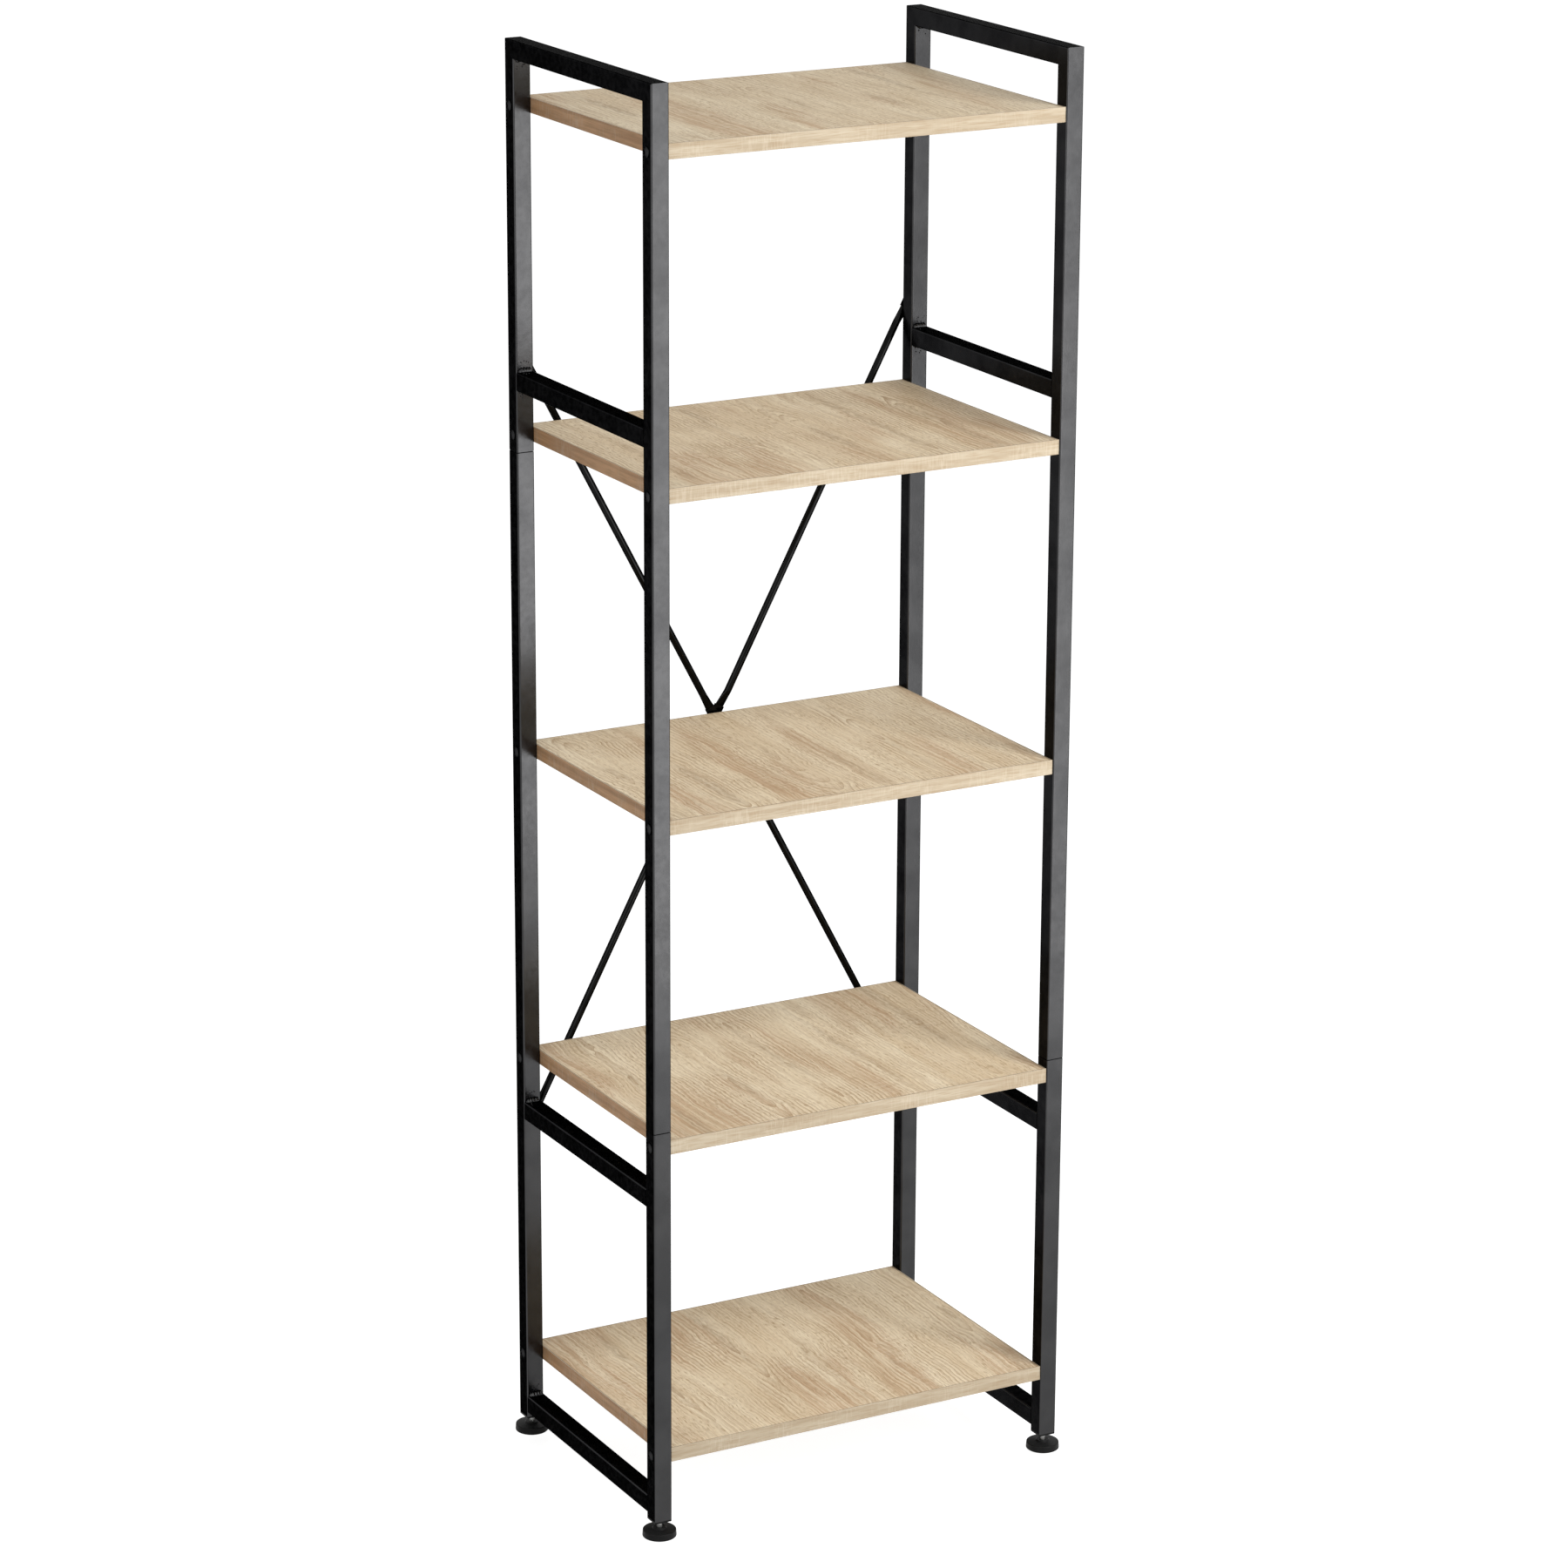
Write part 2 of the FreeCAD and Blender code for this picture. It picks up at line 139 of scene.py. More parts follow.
# Limits between which the staves differ: the heart's place in the width, how steeply it runs, how far it
# lies below the surface, and how strongly the rings show
HEART_PLACE = (0.2, 0.8)
HEART_SLOPE = (-0.15, 0.15)
HEART_DEPTH = (-0.010, 0.020)
RING_STRENGTH = (0.40, 1.00)

# Channels of the random numbers that belong to each stave of each board
HEART_CHANNEL = 1.5
SLOPE_CHANNEL = 2.5
SHADE_CHANNEL = 3.5
RING_CHANNEL = 4.5

# Tones of the oak, and of its edge bands on the front and back and on the ends, where the darker, browner
# tones are painted shade
OAK_TONES = ((0.675, 0.536, 0.356, 1), (0.840, 0.730, 0.542, 1))
STREAK_TONE = (0.510, 0.340, 0.205, 1)
RING_TONE = (0.400, 0.262, 0.145, 1)
HEART_TONE = (0.370, 0.270, 0.170, 1)
PORE_TONE = (0.370, 0.250, 0.140, 1)
SAW_TONE = (0.820, 0.740, 0.600, 1)
JOINT_TONE = (0.160, 0.115, 0.075, 1)
BAND_TONES = ((0.395, 0.314, 0.215, 1), (0.492, 0.416, 0.306, 1))
SHADED_END_TONES = ((0.400, 0.220, 0.108, 1), (0.590, 0.345, 0.180, 1))
BAND_THREAD_TONE = (0.330, 0.230, 0.135, 1)
BAND_TICK_TONE = (0.620, 0.540, 0.420, 1)

# How much each layer of the oak and of its edge bands shows, from 0 to 1
BROAD_SHARE = 0.40
NARROW_SHARE = 0.30
STAVE_SHARE = 0.30
STREAK_STRENGTH = 0.80
HEART_STRENGTH = 0.50
FIBRE_STRENGTH = 0.30
LATE_WOOD_PORES = 0.40
SAW_STRENGTH = 0.16
JOINT_STRENGTH = 0.90
BAND_THREAD_STRENGTH = 0.42
BAND_TICK_STRENGTH = 0.24

# Noise stretched along the grain: waves per metre across and along it, and how fine its detail is
Grain = namedtuple("Grain", "across along detail", defaults=(2.0,))

# Figure of the wood: its grain, the noise at which it begins and is full, and its limits of strength
Figure = namedtuple("Figure", "grain begins full faintest strongest", defaults=(0.0, 1.0))

# Bends of the decor's grain, each with its reach, and the way in which the heart comes and goes
BENDS = (
    (Grain(across=5.0, along=3.2), 0.030),
    (Grain(across=30.0, along=22.0), 0.010),
    (Grain(across=60.0, along=110.0, detail=1), 0.0018),
)
HEART_WANDER = Grain(across=14.0, along=7.0)

# Figures of the decor
BROAD_CLOUDS = Figure(Grain(across=26.0, along=2.2, detail=3), begins=0.34, full=0.66)
NARROW_CLOUDS = Figure(Grain(across=95.0, along=3.5, detail=3), begins=0.34, full=0.66)
STREAK_BUNDLES = Figure(Grain(across=13.0, along=2.4), begins=0.50, full=0.61)
STREAK_THREADS = Figure(Grain(across=260.0, along=6.0), begins=0.42, full=0.62, faintest=0.25)
RING_FADING = Figure(Grain(across=16.0, along=9.0), begins=0.38, full=0.60, faintest=0.20)
HEART_RAGS = Figure(Grain(across=330.0, along=60.0), begins=0.36, full=0.58, faintest=0.30)
HEART_PATCHES = Figure(Grain(across=18.0, along=4.0), begins=0.40, full=0.52)
SAW_TICKS = Figure(Grain(across=420.0, along=34.0, detail=1), begins=0.50, full=0.62)
SAW_PATCHES = Figure(Grain(across=12.0, along=9.0), begins=0.50, full=0.64)
PORES = Figure(Grain(across=900.0, along=105.0), begins=0.47, full=0.70)
PORE_CROWDS = Figure(Grain(across=20.0, along=9.0), begins=0.36, full=0.62, faintest=0.22, strongest=0.60)
FIBRES = Figure(Grain(across=420.0, along=11.0), begins=0.46, full=0.66)

# Edge bands: how far a face has to point sideways to be on an end, the surface, and the figures
END_FACING = 0.7
BAND_ROUGHNESS = (0.42, 0.55)
BAND_SHINE = 0.14
BAND_CLOUDS = Figure(Grain(across=170.0, along=7.0, detail=3), begins=0.30, full=0.70)
BAND_THREADS = Figure(Grain(across=800.0, along=42.0), begins=0.46, full=0.66)
BAND_TICKS = Figure(Grain(across=560.0, along=60.0, detail=1), begins=0.48, full=0.62)
BAND_PATCHES = Figure(Grain(across=5.0, along=24.0), begins=0.36, full=0.62)

# Weld beads: their size, their ripples, how they thin out at their ends, and the spatter beside them
BEAD_LEG = 0.0032
TOP_BEAD_LEG = 0.0050
BEAD_LENGTH = 0.016
BEAD_STEPS = 24
BEAD_ARC_STEPS = 8
BEAD_RIPPLES = 5
BEAD_VALLEY = 0.70
BEAD_UNEVENNESS = (0.95, 1.02)
BEAD_TIP = 0.25
BEAD_TIP_RISE = 6.0
SPATTER_DROPS = 9
SPATTER_SPREAD = 0.4
SPATTER_ON_RAIL = 0.3
SPATTER_REACH = 0.008
SPATTER_RADIUS = (0.0004, 0.0010)
WELD_SEED = 7

# Levelling studs: the head in the pad, the plain shank, and the thread above it
STUD_HEAD_HEIGHT = 0.0030
STUD_SHANK_RADIUS = 0.0031
STUD_THREAD_RADIUS = 0.0029
STUD_STEPS = 24
STUD_SHARP_ANGLE = math.radians(60)
THREAD_PITCH = 0.0010
THREAD_DEPTH = 0.0005
THREAD_ROWS = 6

SIDES = ("left", "right")
ENDS = ("front", "rear")
UPPER_RAILS = ("top_rail", "upper_cross_rail")
LOWER_RAILS = ("lower_cross_rail", "bottom_rail")

# Nodes whose finish is not that of their slot, by the end of their name
FINISHES = {"_rod": "gloss_paint", "_sleeve": "mill_scale"}


def put(tree, socket, value):
    """Link a socket to another node's output, or give it a plain value."""
    if isinstance(value, bpy.types.NodeSocket):
        tree.links.new(value, socket)
    else:
        socket.default_value = value


def add(tree, kind, values=None, **settings):
    """Add a node with its settings, and fill its inputs with values or other nodes' outputs."""
    node = tree.nodes.new(kind)
    for name, value in settings.items():
        setattr(node, name, value)
    for socket, value in (values or {}).items():
        put(tree, node.inputs[socket], value)
    return node


def calculate(tree, operation, first, second=0.0, third=0.0):
    """Output of one arithmetic step."""
    return add(tree, "ShaderNodeMath", {0: first, 1: second, 2: third}, operation=operation).outputs[0]


def product(tree, first, *others):
    """Product of numbers."""
    for other in others:
        first = calculate(tree, "MULTIPLY", first, other)
    return first


def between(tree, share, low, high):
    """Number that goes evenly from low to high as the share goes from 0 to 1."""
    return calculate(tree, "MULTIPLY_ADD", share, high - low, low)


def step(tree, value, low, high, low_result=0.0, high_result=1.0):
    """Smooth step from one result to another as the value goes from low to high."""
    ends = {"From Min": low, "From Max": high, "To Min": low_result, "To Max": high_result}
    node = add(tree, "ShaderNodeMapRange", {"Value": value, **ends}, interpolation_type="SMOOTHSTEP")
    return node.outputs["Result"]


def mix(tree, factor, first, second):
    """Blend of two colours."""
    node = add(tree, "ShaderNodeMix", data_type="RGBA")
    put(tree, node.inputs["Factor"], factor)
    put(tree, node.inputs["A"], first)
    put(tree, node.inputs["B"], second)
    return node.outputs["Result"]


def combine(tree, x, y, z):
    """Vector from three numbers."""
    return add(tree, "ShaderNodeCombineXYZ", {"X": x, "Y": y, "Z": z}).outputs["Vector"]


def split(tree, vector):
    """The three numbers of a vector."""
    parts = add(tree, "ShaderNodeSeparateXYZ", {"Vector": vector}).outputs
    return parts["X"], parts["Y"], parts["Z"]


def object_place(tree):
    """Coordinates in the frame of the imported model."""
    return add(tree, "ShaderNodeTexCoord").outputs["Object"]


def noise(tree, vector, scale=1.0, detail=2.0):
    """Soft noise between 0 and 1."""
    values = {"Vector": vector, "Scale": scale, "Detail": detail}
    return add(tree, "ShaderNodeTexNoise", values).outputs["Fac"]


def spread(tree, height, low_result=0.0, high_result=1.0):
    """Soft noise, most of which lies near its middle, spread over a whole range."""
    return step(tree, height, NOISE_LOW, NOISE_HIGH, low_result, high_result)


def chance_of(tree, first, second, channel):
    """Random number between 0 and 1 that belongs to two whole numbers."""
    place = combine(tree, first, second, channel)
    return add(tree, "ShaderNodeTexWhiteNoise", {"Vector": place}, noise_dimensions="3D").outputs["Value"]


def grain(tree, place, kind):
    """Noise stretched along the grain at a place (across, along, level)."""
    across, along, level = place
    point = combine(tree, product(tree, across, kind.across), product(tree, along, kind.along), level)
    return noise(tree, point, detail=kind.detail)


def figure(tree, place, kind):
    """Strength of a figure of the wood at a place (across, along, level)."""
    height = grain(tree, place, kind.grain)
    return step(tree, height, kind.begins, kind.full, kind.faintest, kind.strongest)


def new_material(name, values):
    """Material whose Principled shader has these plain values, with its node tree and shader."""
    material = bpy.data.materials.new(name)
    material.use_nodes = True
    tree = material.node_tree
    shader = tree.nodes["Principled BSDF"]
    for socket, value in values.items():
        put(tree, shader.inputs[socket], value)
    return material, tree, shader


def tint(tree, shader, share, tones):
    """Let the shader's colour drift between two tones."""
    put(tree, shader.inputs["Base Color"], mix(tree, share, *tones))


def roughen(tree, shader, height, limits):
    """Let the shader's roughness follow a soft noise between two limits."""
    put(tree, shader.inputs["Roughness"], spread(tree, height, *limits))


def add_bump(tree, shader, height, distance, strength):
    """Let a height shape the shader's normal."""
    bump = add(tree, "ShaderNodeBump", {"Height": height, "Distance": distance, "Strength": strength})
    tree.links.new(bump.outputs["Normal"], shader.inputs["Normal"])


def powder_coat():
    """Black powder coat with a fine orange-peel skin and slightly uneven gloss."""
    material, tree, shader = new_material("powder_coat", {"Metallic": 1.0, "Specular Tint": COAT_RIM})
    place = object_place(tree)
    cloud = spread(tree, noise(tree, place, scale=28, detail=3))
    tint(tree, shader, cloud, COAT_TONES)
    roughen(tree, shader, noise(tree, place, scale=160), COAT_ROUGHNESS)
    add_bump(tree, shader, noise(tree, place, scale=900, detail=1), distance=0.00008, strength=0.5)
    return material


def gloss_paint():
    """Smooth black paint of the brace rods, which shows little but the lamps."""
    material, tree, shader = new_material("gloss_paint", {"Metallic": 1.0, "Specular Tint": PAINT_RIM})
    place = object_place(tree)
    cloud = spread(tree, noise(tree, place, scale=60, detail=3))
    tint(tree, shader, cloud, PAINT_TONES)
    roughen(tree, shader, noise(tree, place, scale=240), PAINT_ROUGHNESS)
    add_bump(tree, shader, noise(tree, place, scale=700, detail=1), distance=0.00005, strength=0.4)
    return material


def mill_scale():
    """Blue-black scale of the bare steel sleeves, seen only through the seams of the posts."""
    material, tree, shader = new_material("mill_scale", {"Specular IOR Level": SCALE_SHINE})
    cloud = noise(tree, object_place(tree), scale=90, detail=3)
    tint(tree, shader, cloud, SCALE_TONES)
    roughen(tree, shader, cloud, SCALE_ROUGHNESS)
    return material


def zinc():
    """Bright zinc plate with faint lines round the stud."""
    material, tree, shader = new_material("zinc", {"Metallic": 1.0, "Specular Tint": ZINC_RIM})
    place = object_place(tree)
    cloud = noise(tree, place, scale=350)
    tint(tree, shader, cloud, ZINC_TONES)
    height = split(tree, place)[2]
    lines = noise(tree, combine(tree, 0.0, 0.0, product(tree, height, ZINC_LINE_RATE)), detail=1)
    roughen(tree, shader, lines, ZINC_ROUGHNESS)
    add_bump(tree, shader, lines, distance=0.00004, strength=0.4)
    return material


def black_screw():
    """Black oxide on screws and rivets."""
    material, tree, shader = new_material("black_screw", {"Metallic": 1.0, "Specular Tint": SCREW_RIM})
    cloud = noise(tree, object_place(tree), scale=700)
    tint(tree, shader, cloud, SCREW_TONES)
    roughen(tree, shader, cloud, SCREW_ROUGHNESS)
    return material


def black_plastic():
    """Moulded black plastic with a fine matt grain."""
    material, tree, shader = new_material("black_plastic", {"Specular IOR Level": PLASTIC_SHINE})
    place = object_place(tree)
    tint(tree, shader, noise(tree, place, scale=120), PLASTIC_TONES)
    moulded = noise(tree, place, scale=1500, detail=1)
    roughen(tree, shader, moulded, PLASTIC_ROUGHNESS)
    add_bump(tree, shader, moulded, distance=0.00004, strength=0.4)
    return material


def shelf_pitch():
    """Height from one board to the next."""
    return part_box("lower_shelf_board")[0].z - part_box("bottom_shelf_board")[0].z


def wavy_place(tree, x, y, level):
    """Place in the decor, with the way across bent by broad bows, gentle waves and a fine crinkle."""
    across = x
    for bend, reach in BENDS:
        across = calculate(tree, "MULTIPLY_ADD", grain(tree, (x, y, level), bend), reach, across)
    return across, y, level


def stave_rings(tree, place):
    """Rings from the heart of the stave that the decor shows at a place, and the number of the stave."""
    across, along, level = place
    shift = product(tree, level, STAVE_SHIFT)
    position = calculate(tree, "MULTIPLY_ADD", across, 1 / STAVE_WIDTH, shift)
    stave = calculate(tree, "FLOOR", position)
    heart = between(tree, chance_of(tree, stave, level, HEART_CHANNEL), *HEART_PLACE)
    within = calculate(tree, "SUBTRACT", calculate(tree, "FRACT", position), heart)
    off_heart = product(tree, within, STAVE_WIDTH)
    slope = between(tree, chance_of(tree, stave, level, SLOPE_CHANNEL), *HEART_SLOPE)
    wander = between(tree, grain(tree, place, HEART_WANDER), *HEART_DEPTH)
    depth = calculate(tree, "MULTIPLY_ADD", along, slope, wander)
    depth_squared = product(tree, depth, depth)
    squares = calculate(tree, "MULTIPLY_ADD", off_heart, off_heart, depth_squared)
    return product(tree, calculate(tree, "SQRT", squares), 1 / RING_WIDTH), stave


def oak_ground(tree, place, stave):
    """Cream and tan ground of the decor, with each stave a little different."""
    narrow = product(tree, figure(tree, place, NARROW_CLOUDS), NARROW_SHARE)
    shade = calculate(tree, "MULTIPLY_ADD", figure(tree, place, BROAD_CLOUDS), BROAD_SHARE, narrow)
    own = chance_of(tree, stave, place[2], SHADE_CHANNEL)
    shade = calculate(tree, "MULTIPLY_ADD", own, STAVE_SHARE, shade)
    return mix(tree, shade, *OAK_TONES)


def oak_streaks(tree, place):
    """Strength of the bundles of straight reddish streaks."""
    bundle = figure(tree, place, STREAK_BUNDLES)
    thread = figure(tree, place, STREAK_THREADS)
    return product(tree, bundle, thread, STREAK_STRENGTH)


def oak_rings(tree, place, late, stave):
    """Strength of the dark ring lines, which come and go along the board."""
    own = between(tree, chance_of(tree, stave, place[2], RING_CHANNEL), *RING_STRENGTH)
    fading = figure(tree, place, RING_FADING)
    return product(tree, late, own, fading)


def oak_hearts(tree, place, rings):
    """Strength of the grey-brown patches where the heart of a stave comes to the surface."""
    heart = step(tree, rings, *HEART_RINGS, low_result=1.0, high_result=0.0)
    ragged = figure(tree, place, HEART_RAGS)
    patch = figure(tree, place, HEART_PATCHES)
    return product(tree, heart, ragged, patch, HEART_STRENGTH)


def oak_pores(tree, place, late, pore):
    """Strength of the short dark pores, which crowd in places and in the late wood of each ring."""
    crowd = figure(tree, place, PORE_CROWDS)
    crowd = calculate(tree, "MULTIPLY_ADD", late, LATE_WOOD_PORES, crowd)
    return product(tree, pore, crowd)


def saw_marks(tree, x, y, level):
    """Strength of the pale saw marks across the grain, in patches."""
    tick = figure(tree, (y, x, level), SAW_TICKS)
    patch = figure(tree, (x, y, level), SAW_PATCHES)
    return product(tree, tick, patch, SAW_STRENGTH)


def joint_line(tree, x, y):
    """Strength of the thin dark line where a board's decor meets its edge bands."""
    low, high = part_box("middle_shelf_board")
    past_side = step(tree, calculate(tree, "ABSOLUTE", x), high.x - JOINT_WIDTH, high.x)
    past_front = step(tree, y, low.y, low.y + JOINT_WIDTH, low_result=1.0, high_result=0.0)
    past_back = step(tree, y, high.y - JOINT_WIDTH, high.y)
    past = calculate(tree, "MAXIMUM", past_front, past_back)
    return product(tree, calculate(tree, "MAXIMUM", past_side, past), JOINT_STRENGTH)


def oak_decor():
    """Light oak decor with the grain from front to back and pale saw marks across it."""
    material, tree, shader = new_material("oak_decor", {"Specular IOR Level": OAK_SHINE})
    x, y, z = split(tree, object_place(tree))
    level = calculate(tree, "FLOOR", product(tree, z, 1 / shelf_pitch()))
    place = wavy_place(tree, x, y, level)
    rings, stave = stave_rings(tree, place)
    late = calculate(tree, "POWER", calculate(tree, "FRACT", rings), LATE_WOOD_POWER)
    pore = figure(tree, place, PORES)
    layers = (
        (oak_streaks(tree, place), STREAK_TONE),
        (oak_rings(tree, place, late, stave), RING_TONE),
        (oak_hearts(tree, place, rings), HEART_TONE),
        (product(tree, figure(tree, place, FIBRES), FIBRE_STRENGTH), PORE_TONE),
        (oak_pores(tree, place, late, pore), PORE_TONE),
        (saw_marks(tree, x, y, level), SAW_TONE),
        (joint_line(tree, x, y), JOINT_TONE),
    )
    colour = oak_ground(tree, place, stave)
    for strength, tone in layers:
        colour = mix(tree, strength, colour, tone)
    put(tree, shader.inputs["Base Color"], colour)
    put(tree, shader.inputs["Roughness"], step(tree, pore, 0.0, 1.0, *OAK_ROUGHNESS))
    add_bump(tree, shader, calculate(tree, "SUBTRACT", 1.0, pore), distance=0.00006, strength=0.5)
    return material


def oak_edge():
    """Oak edge band with the grain along the edge and short pale marks across it, darker and browner on
    the ends as painted shade.
    """
    material, tree, shader = new_material("oak_edge", {"Specular IOR Level": BAND_SHINE})
    x, y, z = split(tree, object_place(tree))
    normal = add(tree, "ShaderNodeTexCoord").outputs["Normal"]
    sideways = calculate(tree, "ABSOLUTE", split(tree, normal)[0])
    on_end = calculate(tree, "GREATER_THAN", sideways, END_FACING)
    along = add(tree, "ShaderNodeMix", {0: on_end, 2: x, 3: y}, data_type="FLOAT").outputs[0]
    place = (z, along, on_end)
    # The ends take darker, browner tones than the front and back: painted shade on the same decor
    tan, cream = [mix(tree, on_end, *pair) for pair in zip(BAND_TONES, SHADED_END_TONES)]
    colour = mix(tree, figure(tree, place, BAND_CLOUDS), tan, cream)
    thread = figure(tree, place, BAND_THREADS)
    colour = mix(tree, product(tree, thread, BAND_THREAD_STRENGTH), colour, BAND_THREAD_TONE)
    tick = figure(tree, (along, z, on_end), BAND_TICKS)
    patch = figure(tree, place, BAND_PATCHES)
    colour = mix(tree, product(tree, tick, patch, BAND_TICK_STRENGTH), colour, BAND_TICK_TONE)
    put(tree, shader.inputs["Base Color"], colour)
    put(tree, shader.inputs["Roughness"], step(tree, thread, 0.0, 1.0, *BAND_ROUGHNESS))
    add_bump(tree, shader, calculate(tree, "SUBTRACT", 1.0, thread), distance=0.00005, strength=0.4)
    return material


def finish_of(part):
    """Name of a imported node's finish: its own, or that of its slot."""
    for ending, finish in FINISHES.items():
        if part["node"].endswith(ending):
            return finish
    return part["material_slot"]


def dress(materials):
    """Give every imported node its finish."""
    for part in frame["record"]["subparts"]:
        node = frame["nodes"][part["node"]]
        node.data.materials.clear()
        node.data.materials.append(materials[finish_of(part)])


def close_over(mesh, rings):
    """Join rings of vertices into a closed skin with flat ends."""
    for first, second in zip(rings, rings[1:]):
        for index in range(len(first)):
            after = (index + 1) % len(first)
            mesh.faces.new((first[index], first[after], second[after], second[index]))
    mesh.faces.new(reversed(rings[0]))
    mesh.faces.new(rings[-1])


def add_piece(name, mesh, material, body, node):
    """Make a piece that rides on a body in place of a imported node."""
    bmesh.ops.recalc_face_normals(mesh, faces=mesh.faces[:])
    for face in mesh.faces:
        face.smooth = True
    data = bpy.data.meshes.new(name)
    mesh.to_mesh(data)
    mesh.free()
    piece = bpy.data.objects.new(name, data)
    bpy.context.scene.collection.objects.link(piece)
    data.materials.append(material)
    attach(piece, body)
    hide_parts(node)
    return piece


def stud_rows(low, high, shoulder):
    """Rows of a stud from its head up: height, radius and depth of the thread."""
    head_radius = (high.x - low.x) / 2
    head_top = low.z + STUD_HEAD_HEIGHT
    rows = [
        (low.z, head_radius, 0.0),
        (head_top, head_radius, 0.0),
        (head_top, STUD_SHANK_RADIUS, 0.0),
        (shoulder, STUD_SHANK_RADIUS, 0.0),
        (shoulder, STUD_THREAD_RADIUS, THREAD_DEPTH),
    ]
    rise = THREAD_PITCH / THREAD_ROWS
    for index in range(1, round((high.z - shoulder) / rise)):
        rows.append((shoulder + index * rise, STUD_THREAD_RADIUS, THREAD_DEPTH))
    rows.append((high.z, STUD_THREAD_RADIUS - THREAD_DEPTH, 0.0))
    return rows


def stud_ring(mesh, middle, height, radius, depth):
    """Ring of a stud's vertices at a height, cut by the groove of its thread."""
    ring = []
    for index in range(STUD_STEPS):
        angle = 2 * math.pi * index / STUD_STEPS
        groove = (1 + math.cos(2 * math.pi * height / THREAD_PITCH - angle)) / 2
        reach = radius - depth * groove
        point = (middle.x + reach * math.cos(angle), middle.y + reach * math.sin(angle), height)
        ring.append(mesh.verts.new(point))
    return ring


def stud(end, side, plate):
    """Levelling stud with a right-hand thread, in place of the plain packed one."""
    node = f"{end}_{side}_foot_stud"
    low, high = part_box(node)
    middle = (low + high) / 2
    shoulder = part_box(f"{end}_{side}_foot_plug")[0].z
    mesh = bmesh.new()
    close_over(mesh, [stud_ring(mesh, middle, *row) for row in stud_rows(low, high, shoulder)])
    piece = add_piece(f"{end}_{side}_threaded_stud", mesh, plate, f"{end}_{side}_stud", node)
    piece.data.set_sharp_from_angle(angle=STUD_SHARP_ANGLE)


def bead_radius(leg, position, ripple_phase, chance):
    """Leg of a bead at a position from 0 to 1 along it, with overlapping ripples and rounded ends."""
    ripple = abs(math.sin(math.pi * (BEAD_RIPPLES * position + ripple_phase)))
    lump = BEAD_VALLEY + (1.0 - BEAD_VALLEY) * ripple
    ends = min(1.0, BEAD_TIP_RISE * position * (1.0 - position) + BEAD_TIP)
    return leg * ends * lump * chance.uniform(*BEAD_UNEVENNESS)


def add_bead(mesh, leg, corner, inward, upward, chance):
    """Add one lumpy fillet bead along X, in the corner between a post and a rail."""
    phase = chance.random()
    rings = []
    for index in range(BEAD_STEPS + 1):
        position = index / BEAD_STEPS
        centre = corner + Vector((BEAD_LENGTH * (position - 0.5), 0, 0))
        radius = bead_radius(leg, position, phase, chance)
        ring = [mesh.verts.new(centre)]
        for turn in range(BEAD_ARC_STEPS + 1):
            angle = math.pi / 2 * turn / BEAD_ARC_STEPS
            offset = inward * (radius * math.cos(angle)) + upward * (radius * math.sin(angle))
            ring.append(mesh.verts.new(centre + offset))
        rings.append(ring)
    close_over(mesh, rings)


def add_spatter(mesh, leg, corner, inward, upward, chance):
    """Add a few drops of weld spatter on the faces beside a bead."""
    for _ in range(SPATTER_DROPS):
        across = Vector((chance.uniform(-SPATTER_SPREAD, SPATTER_SPREAD) * BEAD_LENGTH, 0, 0))
        direction = inward if chance.random() < SPATTER_ON_RAIL else upward
        away = direction * chance.uniform(leg, leg + SPATTER_REACH)
        drop = bmesh.ops.create_icosphere(mesh, subdivisions=1, radius=chance.uniform(*SPATTER_RADIUS))
        bmesh.ops.translate(mesh, verts=drop["verts"], vec=corner + across + away)


def weld_corners(side, rail):
    """Corners of a rail and its posts: each a point, the way along the rail and the way along the post."""
    low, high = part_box(f"{side}_{rail}")
    middle = (low.x + high.x) / 2
    corners = []
    for end in ENDS:
        half = "upper" if rail in UPPER_RAILS else "lower"
        post_low, post_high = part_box(f"{side}_{half}_{end}_post")
        face = post_high.y if end == "front" else post_low.y
        inward = Vector((0, 1 if end == "front" else -1, 0))
        corners.append((Vector((middle, face, low.z)), inward, Vector((0, 0, -1))))
        if rail != "top_rail":
            corners.append((Vector((middle, face, high.z)), inward, Vector((0, 0, 1))))
    return corners


def welds(side, half, rails, coat):
    """Lumpy beads of one half of a side frame, in place of the plain packed ones."""
    chance = random.Random(f"{side} {half} {WELD_SEED}")
    mesh = bmesh.new()
    for rail in rails:
        for corner, inward, upward in weld_corners(side, rail):
            leg = TOP_BEAD_LEG if upward.z > 0 else BEAD_LEG
            add_bead(mesh, leg, corner, inward, upward, chance)
            if inward.y < 0:
                add_spatter(mesh, leg, corner, inward, upward, chance)
    piece = add_piece(f"{side}_{half}_weld_beads", mesh, coat, "frame", f"{side}_{half}_frame_welds")


def seen_directly(tree):
    """1 for rays from the camera and for mirrored or refracted ones, 0 for rays that only light things."""
    path = add(tree, "ShaderNodeLightPath").outputs
    seen = calculate(tree, "MAXIMUM", path["Is Camera Ray"], path["Is Glossy Ray"])
    return calculate(tree, "MAXIMUM", seen, path["Is Transmission Ray"])


def world():
    """White surroundings that give soft light from everywhere."""
    setting = bpy.data.worlds.new("studio")
    setting.use_nodes = True
    tree = setting.node_tree
    background = tree.nodes["Background"]
    background.inputs["Color"].default_value = WORLD_COLOUR
    strength = step(tree, seen_directly(tree), 0.0, 1.0, low_result=WORLD_LIGHT)
    put(tree, background.inputs["Strength"], strength)
    bpy.context.scene.world = setting


def foot_reach():
    """How far the feet can be screwed out below their place at rest."""
    joints = frame["record"]["behaviour"]["joints"]
    return max(joint["range_m"][1] for joint in joints if joint["type"] == "slide")


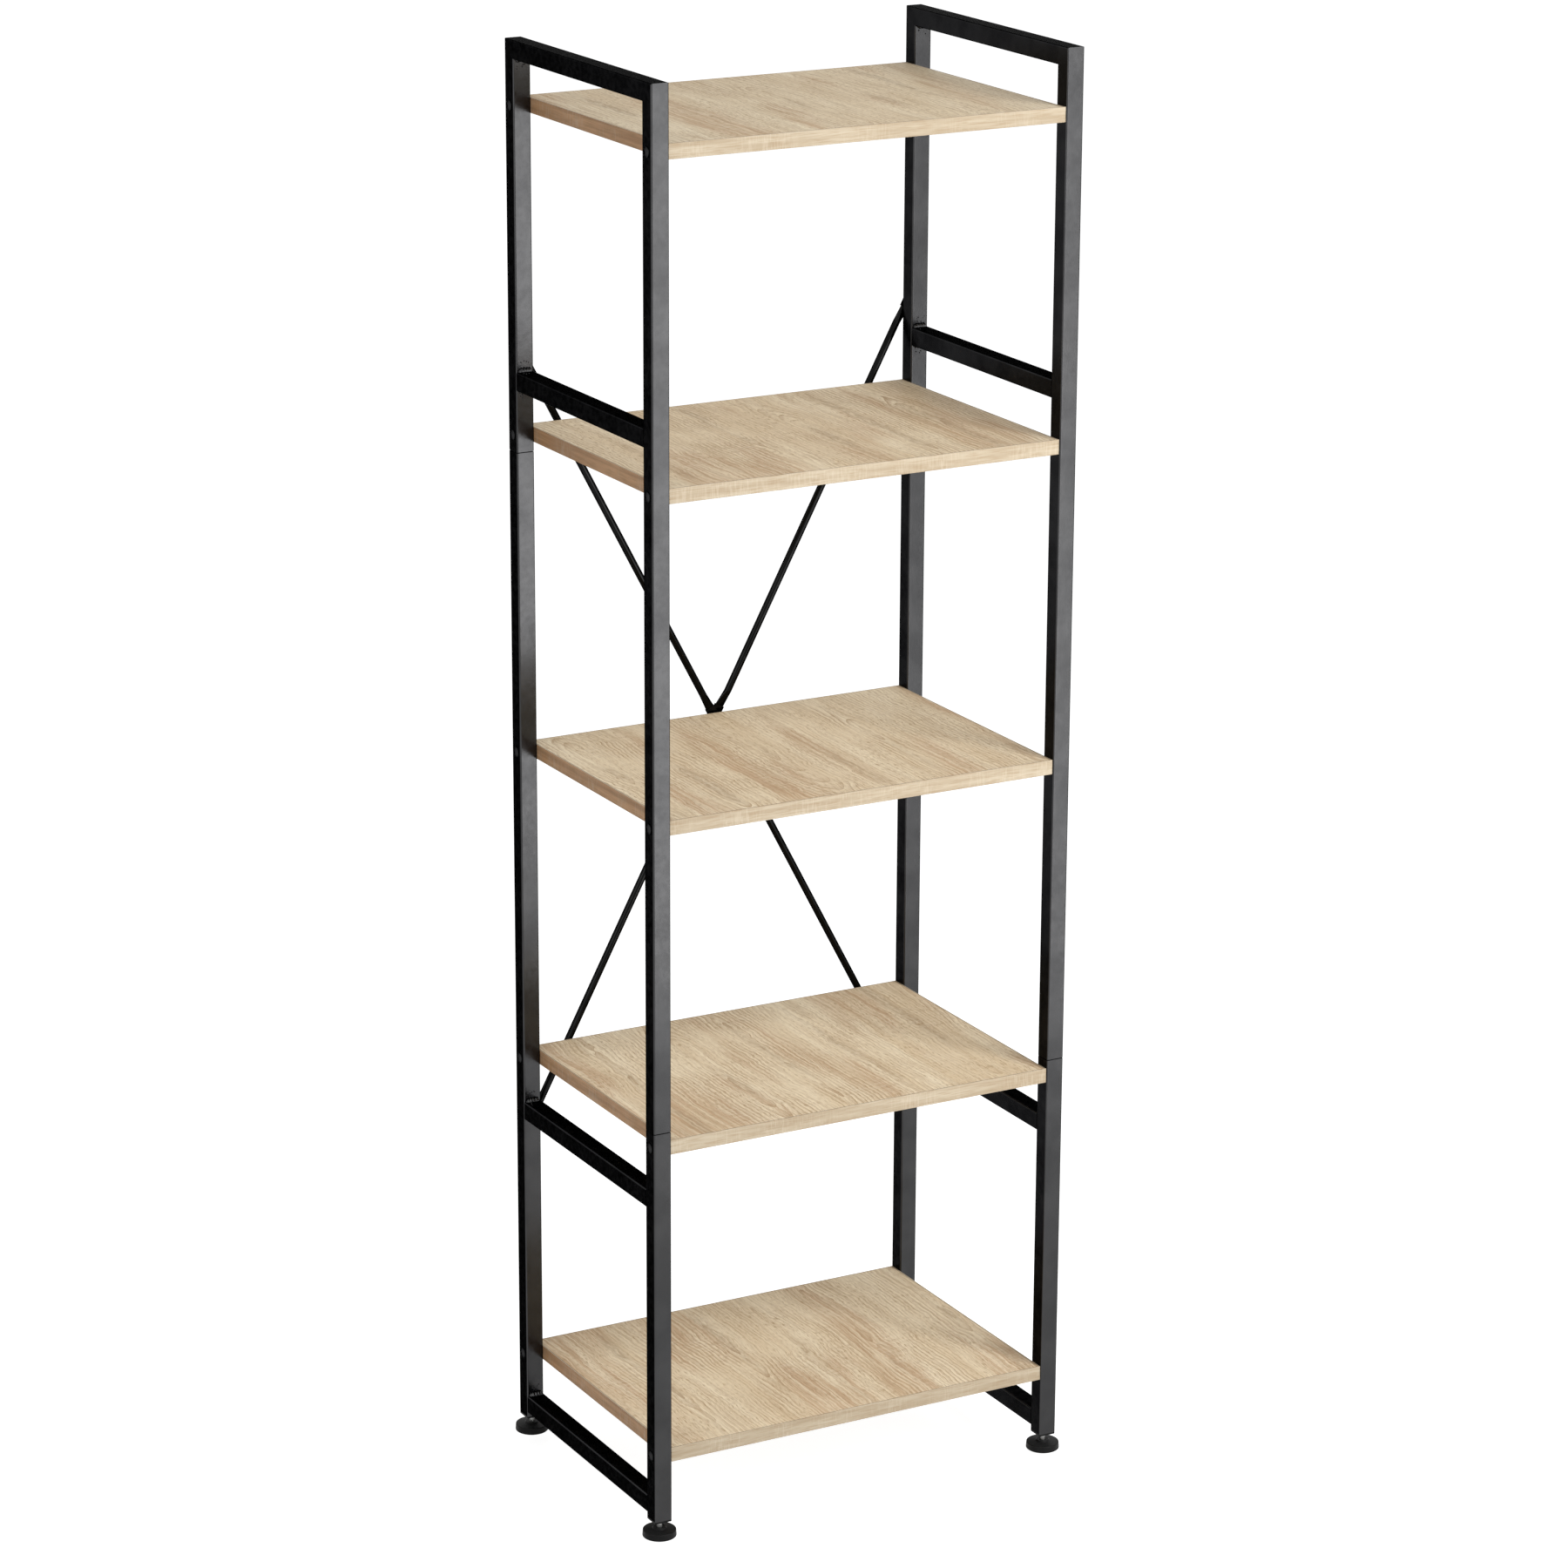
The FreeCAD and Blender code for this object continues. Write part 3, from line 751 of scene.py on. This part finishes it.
def floor_white():
    """Matt floor that looks white to the camera and takes the unit's shadow."""
    material = bpy.data.materials.new("floor")
    material.use_nodes = True
    tree = material.node_tree
    tree.nodes.remove(tree.nodes["Principled BSDF"])
    matt = add(tree, "ShaderNodeBsdfDiffuse", {"Color": FLOOR_COLOUR}).outputs[0]
    strength = product(tree, seen_directly(tree), FLOOR_GLOW)
    glow = add(tree, "ShaderNodeEmission", {"Strength": strength}).outputs[0]
    both = add(tree, "ShaderNodeAddShader", {0: matt, 1: glow}).outputs[0]
    tree.links.new(both, tree.nodes["Material Output"].inputs["Surface"])
    return material


def floor():
    """Plain white floor, just below the reach of the feet."""
    half = FLOOR_SIZE / 2
    corners = [(-half, -half, 0), (half, -half, 0), (half, half, 0), (-half, half, 0)]
    data = bpy.data.meshes.new("floor")
    data.from_pydata(corners, [], [(0, 1, 2, 3)])
    data.materials.append(floor_white())
    plane = bpy.data.objects.new("floor", data)
    plane.location.z = -foot_reach() - FLOOR_CLEARANCE
    bpy.context.scene.collection.objects.link(plane)


def softbox(name, place, target, size, power):
    """Large rectangular studio light."""
    light = bpy.data.lights.new(name, "AREA")
    light.shape = "RECTANGLE"
    light.size, light.size_y = size
    light.energy = power
    lamp = bpy.data.objects.new(name, light)
    lamp.location = place
    lamp.visible_camera = False
    lamp.rotation_euler = (Vector(target) - Vector(place)).to_track_quat("-Z", "Y").to_euler()
    bpy.context.scene.collection.objects.link(lamp)


def lights(middle):
    """Key light from the front and above, a low softbox that the tubes reflect, and a weak left one."""
    softbox("key", KEY_PLACE, middle, KEY_SIZE, KEY_POWER)
    softbox("front_fill", FRONT_FILL_PLACE, FRONT_FILL_TARGET, FRONT_FILL_SIZE, FRONT_FILL_POWER)
    softbox("left_fill", LEFT_FILL_PLACE, middle, LEFT_FILL_SIZE, LEFT_FILL_POWER)


def camera():
    """Camera at the photograph's viewing angle."""
    data = bpy.data.cameras.new("camera")
    data.lens = CAMERA_LENS
    data.sensor_width = CAMERA_SENSOR
    data.shift_x, data.shift_y = CAMERA_SHIFT
    data.clip_end = FLOOR_SIZE
    view = bpy.data.objects.new("camera", data)
    view.location = CAMERA_PLACE
    view.rotation_euler = (math.pi / 2 - CAMERA_ELEVATION, 0, CAMERA_AZIMUTH)
    bpy.context.scene.collection.objects.link(view)
    bpy.context.scene.camera = view


def main():
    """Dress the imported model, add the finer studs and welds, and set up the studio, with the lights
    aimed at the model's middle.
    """
    cad_low, cad_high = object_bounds()
    materials = {
        "powder_coat": powder_coat(),
        "gloss_paint": gloss_paint(),
        "mill_scale": mill_scale(),
        "oak_decor": oak_decor(),
        "oak_edge": oak_edge(),
        "zinc": zinc(),
        "black_screw": black_screw(),
        "black_plastic": black_plastic(),
    }
    dress(materials)
    for side in SIDES:
        welds(side, "upper", UPPER_RAILS, materials["powder_coat"])
        welds(side, "lower", LOWER_RAILS, materials["powder_coat"])
        for end in ENDS:
            stud(end, side, materials["zinc"])
    world()
    floor()
    lights((cad_low + cad_high) / 2)
    camera()
    bpy.context.scene.view_settings.view_transform = "Standard"


main()
